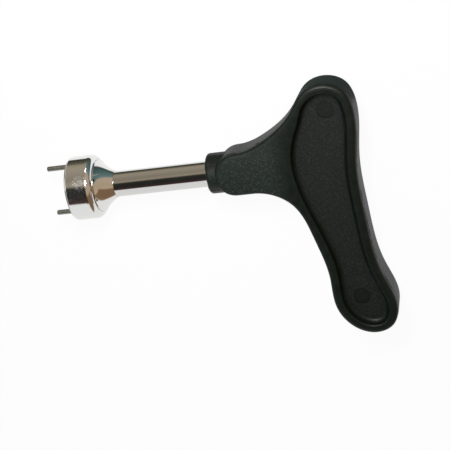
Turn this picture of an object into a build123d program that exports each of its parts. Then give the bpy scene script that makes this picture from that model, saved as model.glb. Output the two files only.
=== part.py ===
from build123d import *
import os
from math import acos, cos, degrees, radians, sin

# A fixed two-pin spanner: a turned steel head with two drive pins, pressed on a steel shaft, and an
# uneven T-handle moulded round the shaft's tang. Millimetres. The origin is the centre of the head's
# front face, +X runs along the shaft to the handle, +Y points along the short arm, and +Z is the
# handle's upper face.

# ---- head ----
head_d = 25.0             # outside diameter of the cup
head_band = 8.0           # length of the straight band behind the front face
head_front_round = 0.9    # rounding of the front edge
head_shoulder_r = 2.8     # rounding between the band and the cone
shoulder_drop = 2.2       # how far the rounded shoulder falls below the band
head_length = 17.4        # front face to the shaft's shoulder
cone_proud = 0.2          # how far the head's rear end stands proud of the shaft
cone_sag = 0.5            # how far the cone's side is hollowed below a straight line
groove_w = 0.5            # turned groove between the shoulder and the cone
groove_depth = 0.35
recess_d = 11.0           # blind recess in the front face
recess_depth = 7.0
recess_chamfer = 0.5

# ---- drive pins ----
pin_d = 2.0
pin_spacing = 18.2        # centre to centre, along Y
pin_reach = 9.5           # length standing out of the front face
pin_root_d = 1.6          # turned down, so that the pin's shoulder seats on the front face
pin_root = 6.0            # length pressed into the head
pin_tip_chamfer = 0.25

# ---- shaft ----
shaft_d = 10.0
spigot_d = 7.0            # front end, pressed into the head
spigot_length = 8.0
spigot_chamfer = 0.4
shaft_visible = 37.4      # shoulder at the head to the collar's front face
tang_flat_start = 8.0     # from the collar's front face to where the flats begin
tang_length = 30.0        # length of shaft inside the handle
tang_thickness = 7.0      # across the two flats
tang_hole_d = 4.0         # cross hole that the plastic fills
tang_hole_back = 9.0      # hole centre to the end of the tang
tang_end_chamfer = 0.6

# ---- handle ----
handle_thickness = 16.0
collar_wall = 2.8         # plastic round the shaft at the collar
collar_round = 1.3        # rounding of the collar's front edge
collar_reach = 3.2        # collar's front face to the tip of the handle's nose
neck_low = 8.0            # shaft axis to the neck's lower side
neck_high = 8.6           # shaft axis to the neck's upper side
neck_straight = 6.0       # straight part of the neck's lower side
grip_back = 57.2          # collar's front face to the back of the grip, on the shaft axis
grip_depth = 27.4         # back of the grip to the front of the pocket's border, on the shaft axis
short_arm = 30.8          # shaft axis to the end of the short arm
short_end_r = 10.4        # radius of the short arm's round end
short_end_back = 9.1      # back of the grip to the centre of the short arm's round end
long_arm = 69.1           # shaft axis to the end of the long arm
long_end_r = 12.0         # mean radius of the long arm's end
long_end_back = 3.4       # back of the grip to the centre of the long arm's end
short_end_shape = ((173, 1.22), (131, 1.06), (90, 1), (45, 1), (0, 1))    # angle, share of short_end_r
long_end_shape = ((-15, 1), (-46, 1.07), (-79, 1), (-130, 0.88), (-181, 1))
high_station = 0.31       # stations down the long arm, as shares of its length
mid_station = 0.41
low_station = 0.65
high_lean = 0.7           # how far the back edge leans back at the high station
low_lean = 4.3            # and at the low station
mid_depth = 20.0          # back of the grip to the front edge at the mid station
low_depth = 16.3          # and at the low station
web_high = (10.9, 3.2)    # the upper web's middle, back and out from the nose
web_low = (13.4, 5.6)     # the lower web's middle, back and out from the straight part
edge_round = 1.6          # rounding of both faces' outer edges
pocket_front_low = -2.1   # where the border crosses the neck, below the shaft axis
pocket_front_high = 10.2  # and above it
border_w = 3.7            # width of the border round each pocket
pocket_depth = 3.4
pocket_floor_r = 1.9      # rounding where the pocket's walls meet its floor
pocket_edge_r = 0.7       # rounding of the pocket's upper edge
ejector_d = 6.4           # round marks of the mould's ejector pins, in the upper pocket's floor
ejector_depth = 0.25
ejector_inset = 15.2      # ejector mark's centre to the end of the long arm
ejector_forward = 1.8     # the same centre in front of the centre of the long arm's end
inset_steps = 28          # points that carry the border's inner outline

# ---- fits ----
fit_gap = 0.02            # radial gap of the pressed and moulded joints

collar_x = head_length + shaft_visible
nose_x = collar_x + collar_reach
back_x = collar_x + grip_back
tang_end_x = collar_x + tang_length
half_t = handle_thickness / 2


def along_x(radius, x0, x1):
    """A cylinder on the tool's axis from x0 to x1."""
    disc = Plane.YZ.offset(x0) * Circle(radius)
    return extrude(disc, x1 - x0)


def head():
    r = head_d / 2
    r_small = shaft_d / 2 + cone_proud
    shoulder_turn = degrees(acos(1 - shoulder_drop / head_shoulder_r))
    with BuildPart() as body:
        with BuildSketch(Plane.XY):
            with BuildLine():
                Line((0, 0), (0, r))
                Line((0, r), (head_band, r))
                shoulder = CenterArc((head_band, r - head_shoulder_r), head_shoulder_r, 90, -shoulder_turn)
                x_groove = (shoulder @ 1).X
                r_groove = (shoulder @ 1).Y
                x_cone = x_groove + groove_w
                Polyline(shoulder @ 1, (x_groove, r_groove - groove_depth),
                         (x_cone, r_groove - groove_depth), (x_cone, r_groove))
                cone_middle = ((x_cone + head_length - cone_sag) / 2, (r_groove + r_small) / 2 - cone_sag)
                ThreePointArc((x_cone, r_groove), cone_middle, (head_length, r_small))
                Polyline((head_length, r_small), (head_length, 0), (0, 0))
            make_face()
        revolve(axis=Axis.X)
        fillet(body.edges().filter_by(GeomType.CIRCLE).sort_by(Axis.X)[0], head_front_round)
    solid = body.part
    solid -= along_x(recess_d / 2, 0, recess_depth)
    solid -= Location((0, 0, 0), (0, 90, 0)) * Cone(
        recess_d / 2 + recess_chamfer, recess_d / 2, recess_chamfer,
        align=(Align.CENTER, Align.CENTER, Align.MIN))
    solid -= along_x(spigot_d / 2 + fit_gap, head_length - spigot_length, head_length)
    for side in (1, -1):
        solid -= Location((0, side * pin_spacing / 2, 0)) * along_x(pin_root_d / 2 + fit_gap, 0, pin_root)
    return solid


def drive_pin(side):
    pin = along_x(pin_d / 2, -pin_reach, 0)
    pin = chamfer(pin.edges().filter_by(GeomType.CIRCLE).sort_by(Axis.X)[0], pin_tip_chamfer)
    pin += along_x(pin_root_d / 2, 0, pin_root)
    return Location((0, side * pin_spacing / 2, 0)) * pin


def tang(gap):
    """The shaft's end inside the handle, grown by gap all round except at its far end."""
    x_flat = collar_x + tang_flat_start + gap
    bar = along_x(shaft_d / 2 + gap, collar_x, tang_end_x)
    bar = chamfer(bar.edges().filter_by(GeomType.CIRCLE).sort_by(Axis.X)[-1], tang_end_chamfer)
    flat_depth = shaft_d
    flat_z = tang_thickness / 2 + gap
    for side in (1, -1):
        bar -= Location(((x_flat + tang_end_x) / 2, 0, side * (flat_z + flat_depth / 2))) * Box(
            tang_end_x - x_flat, 2 * shaft_d, flat_depth)
    bar -= Location((tang_end_x - tang_hole_back, 0, 0)) * Cylinder(tang_hole_d / 2 - gap, 2 * shaft_d)
    return bar


def shaft():
    spigot = along_x(spigot_d / 2, head_length - spigot_length, head_length)
    spigot = chamfer(spigot.edges().filter_by(GeomType.CIRCLE).sort_by(Axis.X)[0], spigot_chamfer)
    return spigot + along_x(shaft_d / 2, head_length, collar_x) + tang(0)


def short_end_centre():
    return Vector(back_x - short_end_back, short_arm - short_end_r)


def long_end_centre():
    return Vector(back_x - long_end_back, long_end_r - long_arm)


def around(centre, radius, angle):
    return centre + Vector(cos(radians(angle)), sin(radians(angle))) * radius


def grip_points():
    """The grip's outline, clockwise from the front of the short arm to the front of the long arm."""
    short_end = [around(short_end_centre(), short_end_r * share, angle)
                 for angle, share in short_end_shape]
    back_edge = [Vector(back_x, 0), Vector(back_x + high_lean, -high_station * long_arm),
                 Vector(back_x + low_lean, -low_station * long_arm)]
    long_end = [around(long_end_centre(), long_end_r * share, angle)
                for angle, share in long_end_shape]
    front_edge = [Vector(back_x - low_depth, -low_station * long_arm),
                  Vector(back_x - mid_depth, -mid_station * long_arm)]
    return short_end + back_edge + long_end + front_edge


def handle_outline():
    """The handle seen from above: the grip, the two webs into the neck, and the round nose."""
    nose_low = (nose_x + neck_low, -neck_low)
    nose_high = (nose_x + neck_high, neck_high)
    neck_end = (nose_low[0] + neck_straight, -neck_low)
    high_middle = (nose_high[0] + web_high[0], neck_high + web_high[1])
    low_middle = (neck_end[0] + web_low[0], -neck_low - web_low[1])
    with BuildSketch() as sketch:
        with BuildLine():
            Spline(nose_high, high_middle, *grip_points(), low_middle, neck_end,
                   tangents=((1, 0), (-1, 0)), tangent_scalars=(1, 1))
            Line(neck_end, nose_low)
            TangentArc(nose_low, (nose_x, 0), tangent=(-1, 0))
            TangentArc((nose_x, 0), nose_high, tangent=(0, 1))
        make_face()
    return sketch.sketch


def pocket_outline():
    """The grip closed across the neck, drawn in by the border's width."""
    front_x = back_x - grip_depth
    across_neck = [Vector(front_x, pocket_front_low), Vector(front_x + 1, pocket_front_high)]
    border = Spline(*grip_points(), *across_neck, periodic=True)
    inset = []
    for step in range(inset_steps):
        inward = (border % (step / inset_steps)).rotate(Axis.Z, -90)
        inset.append(border @ (step / inset_steps) + inward * border_w)
    return make_face(Spline(*inset, periodic=True))


def pocket():
    """The upper pocket's hollow, from the face down to its rounded floor."""
    hollow = extrude(Plane.XY.offset(half_t) * pocket_outline(), -pocket_depth)
    return fillet(hollow.faces().sort_by(Axis.Z)[0].edges(), pocket_floor_r)


def outer_edges(solid, end):
    """The outer edges of the lowest (0) or highest (-1) flat face."""
    return solid.faces().filter_by(Plane.XY).sort_by(Axis.Z)[end].outer_wire().edges()


def inner_edges(solid, end):
    """The pocket's edges in the lowest (0) or highest (-1) flat face."""
    return solid.faces().filter_by(Plane.XY).sort_by(Axis.Z)[end].inner_wires()[0].edges()


def handle():
    solid = extrude(Plane.XY.offset(-half_t) * handle_outline(), handle_thickness)
    solid = fillet(outer_edges(solid, 0) + outer_edges(solid, -1), edge_round)
    collar = along_x(shaft_d / 2 + collar_wall, collar_x, nose_x + neck_low)
    solid += fillet(collar.edges().filter_by(GeomType.CIRCLE).sort_by(Axis.X)[0], collar_round)
    hollow = pocket()
    solid -= hollow
    solid -= mirror(hollow, Plane.XY)
    solid = fillet(inner_edges(solid, 0) + inner_edges(solid, -1), pocket_edge_r)
    low_mark = Vector(long_end_centre().X - ejector_forward, ejector_inset - long_arm)
    for centre in (short_end_centre(), low_mark):
        mark = Cylinder(ejector_d / 2, ejector_depth, align=(Align.CENTER, Align.CENTER, Align.MAX))
        solid -= Location((centre.X, centre.Y, half_t - pocket_depth)) * mark
    solid -= tang(fit_gap)
    return solid


parts = {
    "head": head(),
    "drive_pin_upper": drive_pin(1),
    "drive_pin_lower": drive_pin(-1),
    "shaft": shaft(),
    "handle": handle(),
}

os.makedirs("parts", exist_ok=True)
for name, solid in parts.items():
    export_step(solid, f"parts/{name}.step")
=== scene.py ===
from math import radians

import bmesh
import bpy
from mathutils import Matrix, Vector


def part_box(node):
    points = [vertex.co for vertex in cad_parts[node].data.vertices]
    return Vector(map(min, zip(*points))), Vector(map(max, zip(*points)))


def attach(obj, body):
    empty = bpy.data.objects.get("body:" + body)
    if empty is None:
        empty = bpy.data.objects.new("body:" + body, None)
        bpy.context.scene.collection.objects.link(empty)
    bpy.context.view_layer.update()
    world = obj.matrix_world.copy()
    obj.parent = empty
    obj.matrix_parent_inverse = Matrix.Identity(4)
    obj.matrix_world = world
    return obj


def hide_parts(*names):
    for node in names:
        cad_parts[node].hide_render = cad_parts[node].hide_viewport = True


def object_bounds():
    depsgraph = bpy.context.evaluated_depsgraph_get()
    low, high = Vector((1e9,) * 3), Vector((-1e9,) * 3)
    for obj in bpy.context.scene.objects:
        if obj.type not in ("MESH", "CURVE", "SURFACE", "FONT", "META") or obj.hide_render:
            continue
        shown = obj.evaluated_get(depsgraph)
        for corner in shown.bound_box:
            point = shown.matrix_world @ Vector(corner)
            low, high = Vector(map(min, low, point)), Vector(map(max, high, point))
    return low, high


MM = 0.001

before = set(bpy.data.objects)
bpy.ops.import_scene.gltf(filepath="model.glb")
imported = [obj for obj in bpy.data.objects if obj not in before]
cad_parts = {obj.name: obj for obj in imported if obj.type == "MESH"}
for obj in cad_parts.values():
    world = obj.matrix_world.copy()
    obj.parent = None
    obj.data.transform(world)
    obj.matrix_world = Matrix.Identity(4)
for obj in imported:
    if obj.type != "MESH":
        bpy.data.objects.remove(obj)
cad_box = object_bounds()
bpy.ops.object.select_all(action="DESELECT")

head_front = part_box("head")[0].x
head_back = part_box("head")[1].x
head_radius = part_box("head")[1].z
face_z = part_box("handle")[1].z      # the handle's flat faces lie this far above and below its middle
collar_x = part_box("handle")[0].x
floor_z = cad_box[0][2]

# ---- sizes, in metres ----
parting_z = face_z - 2.3 * MM       # height of the mould's parting line on the handle
parting_w = 0.16 * MM               # width of the parting line's slope
parting_step = 0.16 * MM            # how far the two mould halves differ in outline
pocket_top_z = face_z - 1.5 * MM    # below here a flat face is in a pocket
pocket_low_z = face_z - 2.5 * MM    # and from here down it has the pocket's full grain
mark_z = face_z - 3.65 * MM         # floor of the ejector marks, 0.25 mm below the pocket's floor
neck_end = collar_x + 32 * MM       # where the neck's grained face ends at the grip's smooth border
neck_fade = 8 * MM                  # length over which the neck's grain comes in
floor_size = 6

# Middle of the scratched patch on the wall of the head.
knock_place = (head_front + 6.2 * MM, head_radius * 0.42, head_radius * 0.91)

# A Mix node's sockets for colours, by number because their names repeat.
SHARE, FIRST, SECOND, MIXED = 0, 6, 7, 2

# ---- colours of the studio ----
WHITE = (1, 1, 1, 1)
PLAIN_LIGHT = (0.3, 0.3, 0.3, 1)
BROWN = "#80664e"

# Bands that the plating reflects, in degrees round the shaft: 0 is up and 90 towards the short arm.
# The first is square to the shaft, the second towards the handle, and the third ahead of the head.
BESIDE = [(-46, 0.9), (-41, "#4a3230"), (-30, "#3a302c"), (-14, "#2a2825"), (2, "#2b2b28"),
          (16, "#35332e"), (26, "#a09584"), (48, "#908675"), (70, "#9c9186"), (92, "#a69a88"),
          (106, "#988f7c"), (116, "#5e5a4d"), (130, "#45433a"), (141, "#2c2d28"), (145, 1.0)]
BEHIND = [(-94, 0.9), (-88, "#c0a488"), (30, "#b5a28a"), (74, "#b9a592"), (86, "#6b8280"),
          (128, "#48605f"), (143, "#3b4a48"), (147, 1.0)]
BEFORE = [(-150, 0.5), (-95, 0.72), (-60, "#4a4846"), (-30, "#5b5a57"), (8, "#77746e"), (14, 0.95),
          (60, 0.85), (66, "#8d8a84"), (110, "#3f3e3b"), (144, "#55534f"), (150, 0.5)]
# How much of the brown shows towards the handle.
BROWN_PATCH = [(-90, 0), (-86, 0.9), (-70, 1), (-22, 1), (-10, 0)]


# ---- camera ----
def add_camera():
    """Looks down on the tool from above the handle, a little to the short arm's side."""
    data = bpy.data.cameras.new("camera")
    data.sensor_width = 36
    data.lens = 84.84
    data.clip_start = 0.01
    camera = bpy.data.objects.new("camera", data)
    bpy.context.collection.objects.link(camera)
    right = Vector((0.9687, -0.1686, -0.1820))
    up = Vector((0.0965, 0.9320, -0.3494))
    back = right.cross(up)
    aside, below, away = 59.10, 14.38, 418.5    # mm from the frame's origin, along these axes
    camera.matrix_world = Matrix((right, up, back)).transposed().to_4x4()
    camera.location = right * aside * MM - up * below * MM + back * away * MM
    bpy.context.scene.camera = camera


# ---- materials ----
def linear(colour):
    """An sRGB hex colour as linear red, green, blue and an alpha of 1."""
    channels = [int(colour[i:i + 2], 16) / 255 for i in (1, 3, 5)]
    return [c / 12.92 if c <= 0.04045 else ((c + 0.055) / 1.055) ** 2.4 for c in channels] + [1]


def add(tree, kind, links=None, stops=(), **settings):
    """Adds a node, sets its properties, sockets and colour stops, and links it to other nodes' outputs.

    A stop is a place and a hex colour or grey value.
    """
    node = tree.nodes.new(kind)
    for name, value in settings.items():
        setattr(node, name, value)
    for socket, value in (links or {}).items():
        if isinstance(value, bpy.types.NodeSocket):
            tree.links.new(value, node.inputs[socket])
        else:
            node.inputs[socket].default_value = value
    if stops:
        elements = node.color_ramp.elements
        while len(elements) < len(stops):
            elements.new(0.5)
        for element, (place, colour) in zip(elements, stops):
            element.position = place
            element.color = linear(colour) if isinstance(colour, str) else (colour, colour, colour, 1)
    return node


def new_material(name):
    """A new material, its node tree and its shader."""
    material = bpy.data.materials.new(name)
    material.use_nodes = True
    return material, material.node_tree, material.node_tree.nodes["Principled BSDF"]


def moulded_black_plastic():
    """Injection-moulded black polypropylene: near-black with a soft sheen.

    The mould is spark-eroded on the neck and in the pockets, which gives them a grain of about 0.3 mm,
    drawn at 0.6 mm so that it shows. The side walls have half as much and the borders are smooth. The
    round marks of the ejector pins are smoother and a little darker. Painted shade darkens the pockets'
    flat floors and, more deeply, the creases.
    """
    grain_width = 0.6 * MM
    grain_depth = 0.14 * MM
    wall_grain = 0.5            # share of the grain on the side walls
    mark_loss = 0.6             # share of the grain that the ejector marks lack
    mark_margin = 0.1 * MM
    cloud_width = 3 * MM        # of the faint clouds in the black of the borders
    pocket_shade = 0.5          # how much painted shade darkens the pockets' floors
    crease_shade_reach = 2.5 * MM     # how far from a crease its painted shade shows
    material, tree, shader = new_material("moulded black plastic")
    place = add(tree, "ShaderNodeTexCoord").outputs["Object"]
    xyz = add(tree, "ShaderNodeSeparateXYZ", {"Vector": place}).outputs
    depth = add(tree, "ShaderNodeMath", {0: xyz["Z"]}, operation="ABSOLUTE").outputs[0]
    normal = add(tree, "ShaderNodeNewGeometry").outputs["Normal"]
    slope = add(tree, "ShaderNodeSeparateXYZ", {"Vector": normal}).outputs["Z"]
    slope = add(tree, "ShaderNodeMath", {0: slope}, operation="ABSOLUTE").outputs[0]
    flat = add(tree, "ShaderNodeMapRange", {"Value": slope, "From Min": 0.9,
                                           "From Max": 0.995}).outputs[0]
    wall = add(tree, "ShaderNodeMapRange", {"Value": slope, "From Min": 0.5, "From Max": 0.1,
                                           "To Max": wall_grain}).outputs[0]

    pocket = add(tree, "ShaderNodeMapRange", {"Value": depth, "From Min": pocket_top_z,
                                             "From Max": pocket_low_z}).outputs[0]
    pocket = add(tree, "ShaderNodeMath", {0: pocket, 1: flat}, operation="MULTIPLY").outputs[0]
    neck = add(tree, "ShaderNodeMapRange", {"Value": xyz["X"], "From Min": neck_end,
                                           "From Max": neck_end - neck_fade}).outputs[0]
    neck = add(tree, "ShaderNodeMath", {0: neck, 1: flat}, operation="MULTIPLY").outputs[0]
    mark = add(tree, "ShaderNodeMath", {0: depth, 1: mark_z, 2: mark_margin},
               operation="COMPARE").outputs[0]
    mark = add(tree, "ShaderNodeMath", {0: mark, 1: mark_loss}, operation="MULTIPLY").outputs[0]
    grained = add(tree, "ShaderNodeMath", {0: pocket, 1: neck}, operation="MAXIMUM").outputs[0]
    grained = add(tree, "ShaderNodeMath", {0: grained, 1: mark}, operation="SUBTRACT",
                  use_clamp=True).outputs[0]
    textured = add(tree, "ShaderNodeMath", {0: grained, 1: wall}, operation="MAXIMUM").outputs[0]

    grain = add(tree, "ShaderNodeTexNoise", {"Vector": place, "Scale": 1 / grain_width, "Detail": 2,
                                            "Roughness": 0.7}).outputs["Fac"]
    strength = add(tree, "ShaderNodeMapRange", {"Value": textured, "To Min": 0.35,
                                               "To Max": 1}).outputs[0]
    bump = add(tree, "ShaderNodeBump", {"Height": grain, "Strength": strength, "Distance": grain_depth})
    tree.links.new(bump.outputs["Normal"], shader.inputs["Normal"])
    roughness = add(tree, "ShaderNodeMapRange", {"Value": textured, "To Min": 0.42,
                                                "To Max": 0.58}).outputs[0]
    tree.links.new(roughness, shader.inputs["Roughness"])

    cloud = add(tree, "ShaderNodeTexNoise", {"Vector": place, "Scale": 1 / cloud_width,
                                            "Detail": 4}).outputs["Fac"]
    grained_colour = add(tree, "ShaderNodeValToRGB", {"Fac": grain},
                         stops=[(0.32, "#141b17"), (0.54, "#1c2520"), (0.74, "#3c4640")]).outputs[0]
    colour = add(tree, "ShaderNodeValToRGB", {"Fac": cloud},
                 stops=[(0.3, "#0a110c"), (0.7, "#131c16")]).outputs[0]
    # painted shade: the pockets' flat floors are darkened, as the walls round them would shade them
    shade = add(tree, "ShaderNodeMath", {0: pocket, 1: pocket_shade}, operation="MULTIPLY").outputs[0]
    # painted shade: creases darken where ambient occlusion finds the handle close round them
    crease_shade = add(tree, "ShaderNodeAmbientOcclusion", {"Distance": crease_shade_reach}, samples=8,
                 only_local=True).outputs["AO"]
    crease_shade = add(tree, "ShaderNodeMapRange", {"Value": crease_shade, "From Min": 0.97,
                                             "From Max": 0.62}).outputs[0]
    # the grain's own colour first, then painted shade on the pockets' floors and in the creases
    layers = ((grained, grained_colour), (shade, linear("#070a08")), (crease_shade, linear("#020302")))
    for share, over in layers:
        colour = add(tree, "ShaderNodeMix", {SHARE: share, FIRST: colour, SECOND: over},
                     data_type="RGBA").outputs[MIXED]
    tree.links.new(colour, shader.inputs["Base Color"])
    shader.inputs["IOR"].default_value = 1.49
    shader.inputs["Specular IOR Level"].default_value = 0.26
    return material


def chrome_plate(name, colour, scuffing):
    """Bright chrome plate over turned steel: a mirror with the faintest lathe rings.

    The rings are about 0.1 mm apart, drawn at 0.4 mm so that they show. Scuffing, from 0 to 1, is how
    much the wall of the head is scratched where it knocks against things: fine lines, about 0.05 mm
    wide and drawn at 0.2 mm, rougher than the mirror round them, so they catch the lamps.
    """
    ring_gap = 0.4 * MM
    ring_depth = 0.02 * MM
    scratch_gap = 0.9 * MM
    knock_core = 1 * MM         # all scratched within this distance of the knock
    knock_edge = 3.6 * MM       # and hardly any beyond this one
    haze_width = 5 * MM
    material, tree, shader = new_material(name)
    place = add(tree, "ShaderNodeTexCoord").outputs["Object"]
    xyz = add(tree, "ShaderNodeSeparateXYZ", {"Vector": place}).outputs
    across = add(tree, "ShaderNodeCombineXYZ", {"Y": xyz["Y"], "Z": xyz["Z"]}).outputs[0]
    radius = add(tree, "ShaderNodeVectorMath", {0: across}, operation="LENGTH").outputs["Value"]
    section = add(tree, "ShaderNodeCombineXYZ", {"X": xyz["X"], "Y": radius}).outputs[0]
    rings = add(tree, "ShaderNodeTexNoise", {"Vector": section, "Scale": 1 / ring_gap,
                                            "Detail": 2}).outputs["Fac"]
    bump = add(tree, "ShaderNodeBump", {"Height": rings, "Strength": 0.12, "Distance": ring_depth})
    tree.links.new(bump.outputs["Normal"], shader.inputs["Normal"])

    wall = add(tree, "ShaderNodeMapRange", {"Value": radius, "From Min": head_radius - 0.6 * MM,
                                           "From Max": head_radius - 0.1 * MM}).outputs[0]
    knock = add(tree, "ShaderNodeVectorMath", {0: place, 1: knock_place},
                operation="DISTANCE").outputs["Value"]
    worn = add(tree, "ShaderNodeMapRange", {"Value": knock, "From Min": knock_edge,
                                           "From Max": knock_core, "To Min": 0.009 * scuffing,
                                           "To Max": 0.05 * scuffing}).outputs[0]
    worn = add(tree, "ShaderNodeMath", {0: worn, 1: wall}, operation="MULTIPLY").outputs[0]
    crossing = add(tree, "ShaderNodeTexNoise", {"Vector": place, "Scale": 1 / scratch_gap, "Detail": 1,
                                               "Distortion": 1.5}).outputs["Fac"]
    crossing = add(tree, "ShaderNodeMath", {0: crossing, 1: 0.5}, operation="SUBTRACT").outputs[0]
    crossing = add(tree, "ShaderNodeMath", {0: crossing}, operation="ABSOLUTE").outputs[0]
    scratch = add(tree, "ShaderNodeMath", {0: worn, 1: crossing}, operation="SUBTRACT").outputs[0]
    scratch = add(tree, "ShaderNodeMapRange", {"Value": scratch, "From Min": 0, "From Max": 0.015,
                                              "To Max": 0.33}).outputs[0]

    haze = add(tree, "ShaderNodeTexNoise", {"Vector": place, "Scale": 1 / haze_width,
                                           "Detail": 3}).outputs["Fac"]
    roughness = add(tree, "ShaderNodeMapRange", {"Value": haze, "From Min": 0.35, "From Max": 0.7,
                                                "To Min": 0.05, "To Max": 0.11}).outputs[0]
    roughness = add(tree, "ShaderNodeMath", {0: roughness, 1: scratch}, operation="ADD").outputs[0]
    tree.links.new(roughness, shader.inputs["Roughness"])
    shader.inputs["Base Color"].default_value = linear(colour)
    shader.inputs["Metallic"].default_value = 1
    return material


def ground_steel():
    """Hardened, centreless-ground steel: grey, with grinding lines round each pin.

    The lines are about 0.03 mm apart, drawn at 0.25 mm so that they show.
    """
    line_gap = 0.25 * MM
    line_depth = 0.02 * MM
    material, tree, shader = new_material("ground steel")
    place = add(tree, "ShaderNodeTexCoord").outputs["Object"]
    stretched = add(tree, "ShaderNodeMapping", {"Vector": place, "Scale": (1, 0.15, 0.15)}).outputs[0]
    lines = add(tree, "ShaderNodeTexNoise", {"Vector": stretched, "Scale": 1 / line_gap, "Detail": 3,
                                            "Roughness": 0.7}).outputs["Fac"]
    colour = add(tree, "ShaderNodeValToRGB", {"Fac": lines},
                 stops=[(0.3, "#76766f"), (0.7, "#a8a79f")]).outputs[0]
    tree.links.new(colour, shader.inputs["Base Color"])
    roughness = add(tree, "ShaderNodeMapRange", {"Value": lines, "From Min": 0.3, "From Max": 0.7,
                                                "To Min": 0.24, "To Max": 0.42}).outputs[0]
    tree.links.new(roughness, shader.inputs["Roughness"])
    bump = add(tree, "ShaderNodeBump", {"Height": lines, "Strength": 0.3, "Distance": line_depth})
    tree.links.new(bump.outputs["Normal"], shader.inputs["Normal"])
    shader.inputs["Metallic"].default_value = 1
    return material


# ---- the handle ----
def handle_piece():
    """The moulding, with the small step round its outline where the two halves of the mould met."""
    cad_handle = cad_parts["handle"]
    piece = bpy.data.objects.new("handle_moulding", cad_handle.data.copy())
    bpy.context.collection.objects.link(piece)
    bpy.context.view_layer.objects.active = piece
    piece.select_set(True)
    bpy.ops.object.mode_set(mode="EDIT")
    bpy.ops.mesh.select_all(action="SELECT")
    bpy.ops.mesh.customdata_custom_splitnormals_clear()
    bpy.ops.mesh.remove_doubles(threshold=1e-7)
    for z in (parting_z - parting_w / 2, parting_z + parting_w / 2):
        bpy.ops.mesh.select_all(action="SELECT")
        bpy.ops.mesh.bisect(plane_co=(0, 0, z), plane_no=(0, 0, 1))
    mesh = bmesh.from_edit_mesh(piece.data)
    narrowed = {vertex for face in crown_faces(mesh) for vertex in face.verts}
    outward = {vertex: Vector((vertex.normal.x, vertex.normal.y, 0)).normalized()
               for vertex in narrowed}
    for vertex, direction in outward.items():
        vertex.co -= direction * parting_step
    bmesh.update_edit_mesh(piece.data)
    bpy.ops.object.mode_set(mode="OBJECT")
    bpy.ops.object.shade_smooth_by_angle(angle=radians(30))
    piece.select_set(False)
    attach(piece, "root")
    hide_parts("handle")
    return piece


def crown_faces(mesh):
    """The outer wall's faces above the parting line, up to the flat face, found from its far end."""
    flat = 0.99     # how upright the normal of a flat face is
    above = {face for face in mesh.faces
             if face.calc_center_median().z > parting_z + parting_w / 2 and abs(face.normal.z) < flat}
    start = max(above, key=lambda face: face.calc_center_median().x)
    found, edge_of_search = {start}, [start]
    while edge_of_search:
        face = edge_of_search.pop()
        for edge in face.edges:
            for neighbour in edge.link_faces:
                if neighbour in above and neighbour not in found:
                    found.add(neighbour)
                    edge_of_search.append(neighbour)
    return found


def give(piece, material):
    """Makes this the piece's only material."""
    piece.data.materials.clear()
    piece.data.materials.append(material)


# ---- studio ----
def around(bands):
    """Colour stops for bands given in degrees, from -180 to 180."""
    return [((degrees + 180) / 360, colour) for degrees, colour in bands]


def studio_light():
    """What the plating reflects, by direction: white floor and side, dark room, warm wall.

    Only reflections show it. All else gets a plain grey light, and the camera sees white.
    """
    world = bpy.data.worlds.new("studio")
    bpy.context.scene.world = world
    world.use_nodes = True
    tree = world.node_tree
    tree.nodes.clear()
    direction = add(tree, "ShaderNodeTexCoord").outputs["Generated"]
    xyz = add(tree, "ShaderNodeSeparateXYZ", {"Vector": direction}).outputs
    turn = add(tree, "ShaderNodeMath", {0: xyz["Y"], 1: xyz["Z"]}, operation="ARCTAN2").outputs[0]
    turn = add(tree, "ShaderNodeMapRange", {"Value": turn, "From Min": radians(-180),
                                           "From Max": radians(180)}).outputs[0]
    beside, behind, before, brown = [
        add(tree, "ShaderNodeValToRGB", {"Fac": turn}, stops=around(bands)).outputs[0]
        for bands in (BESIDE, BEHIND, BEFORE, BROWN_PATCH)]

    # Each goes from 0 to 1 between two slants: 1 points straight to the handle and -1 straight ahead.
    off_axis, to_behind, to_before, straight_on = [
        add(tree, "ShaderNodeMapRange", {"Value": xyz["X"], "From Min": low,
                                         "From Max": high}).outputs[0]
        for low, high in ((0.955, 0.94), (0.1, 0.3), (-0.42, -0.5), (-0.55, -0.62))]
    brown = add(tree, "ShaderNodeMath", {0: brown, 1: off_axis}, operation="MULTIPLY").outputs[0]
    behind = add(tree, "ShaderNodeMix", {SHARE: brown, FIRST: behind, SECOND: linear(BROWN)},
                 data_type="RGBA").outputs[MIXED]
    before = add(tree, "ShaderNodeMix", {SHARE: straight_on, FIRST: WHITE, SECOND: before},
                 data_type="RGBA").outputs[MIXED]
    room = beside
    for share, other in ((to_behind, behind), (to_before, before)):
        room = add(tree, "ShaderNodeMix", {SHARE: share, FIRST: room, SECOND: other},
                   data_type="RGBA").outputs[MIXED]

    rays = add(tree, "ShaderNodeLightPath").outputs
    seen = PLAIN_LIGHT
    for share, other in ((rays["Is Glossy Ray"], room), (rays["Is Camera Ray"], WHITE)):
        seen = add(tree, "ShaderNodeMix", {SHARE: share, FIRST: seen, SECOND: other},
                   data_type="RGBA").outputs[MIXED]
    background = add(tree, "ShaderNodeBackground", {"Color": seen})
    output = add(tree, "ShaderNodeOutputWorld")
    tree.links.new(background.outputs[0], output.inputs[0])


def lamp(name, direction, distance, width, height, power):
    """A soft box aimed at the head."""
    target = Vector(((head_front + head_back) / 2, 0, 0))
    data = bpy.data.lights.new(name, "AREA")
    data.shape = "RECTANGLE"
    data.size = width
    data.size_y = height
    data.energy = power
    lamp_object = bpy.data.objects.new(name, data)
    bpy.context.collection.objects.link(lamp_object)
    lamp_object.location = target + Vector(direction).normalized() * distance
    lamp_object.rotation_euler = (-Vector(direction)).to_track_quat("-Z", "Y").to_euler()


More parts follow.
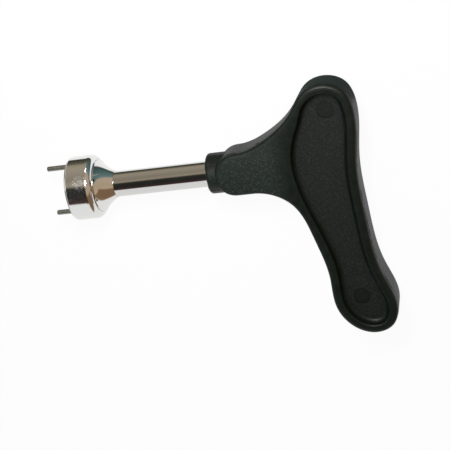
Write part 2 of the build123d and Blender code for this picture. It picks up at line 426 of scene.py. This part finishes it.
def lay_floor():
    """White card under the tool: it keeps the shadow and is nearly plain white to the camera."""
    plain_share = 0.95
    bpy.ops.mesh.primitive_plane_add(size=floor_size, location=(0, 0, floor_z))
    floor = bpy.context.object
    floor.name = "floor"
    material, tree, shader = new_material("white studio card")
    shader.inputs["Base Color"].default_value = linear("#f4f4f4")
    shader.inputs["Roughness"].default_value = 0.8
    shader.inputs["Specular IOR Level"].default_value = 0.1
    white = add(tree, "ShaderNodeEmission", {"Color": WHITE})
    camera_ray = add(tree, "ShaderNodeLightPath").outputs["Is Camera Ray"]
    share = add(tree, "ShaderNodeMath", {0: camera_ray, 1: plain_share}, operation="MULTIPLY")
    mixed = add(tree, "ShaderNodeMixShader", {0: share.outputs[0], 1: shader.outputs[0],
                                             2: white.outputs[0]})
    tree.links.new(mixed.outputs[0], tree.nodes["Material Output"].inputs[0])
    give(floor, material)
    floor.visible_glossy = False


def lay_shade_card():
    """A grey card on the floor beside the short arm, seen only in reflections: painted shade that the
    handle's walls reflect where the floor lies in the handle's shadow.
    """
    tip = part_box("handle")[1]
    near = Vector((neck_end, 20 * MM))
    far = Vector((tip.x + 5 * MM, tip.y + 40 * MM))
    middle = (near + far) / 2
    bpy.ops.mesh.primitive_plane_add(size=1, location=(middle.x, middle.y, floor_z + 0.1 * MM))
    card = bpy.context.object
    card.name = "floor_shade_card"
    card.scale = (far.x - near.x, far.y - near.y, 1)
    material, tree, shader = new_material("painted floor shade card")
    # the grey of the painted shade that the handle's walls reflect
    shader.inputs["Base Color"].default_value = linear("#7a8683")
    shader.inputs["Roughness"].default_value = 0.9
    give(card, material)
    card.visible_camera = False
    card.visible_diffuse = False
    card.visible_shadow = False


add_camera()
studio_light()
lamp("key softbox", direction=(0.27, 0.49, 0.83), distance=0.27, width=0.035, height=0.08, power=0.6)
lamp("side softbox", direction=(0.21, 0.957, 0.2), distance=0.3, width=0.02, height=0.08, power=0.06)
lay_floor()
lay_shade_card()

give(handle_piece(), moulded_black_plastic())
give(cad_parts["shaft"], chrome_plate("chrome plate on the shaft", "#dadad8", scuffing=0))
give(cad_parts["head"], chrome_plate("chrome plate on the head", "#e6e6e4", scuffing=1))
pin_finish = ground_steel()
give(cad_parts["drive_pin_upper"], pin_finish)
give(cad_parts["drive_pin_lower"], pin_finish)

bpy.context.scene.view_settings.view_transform = "Standard"
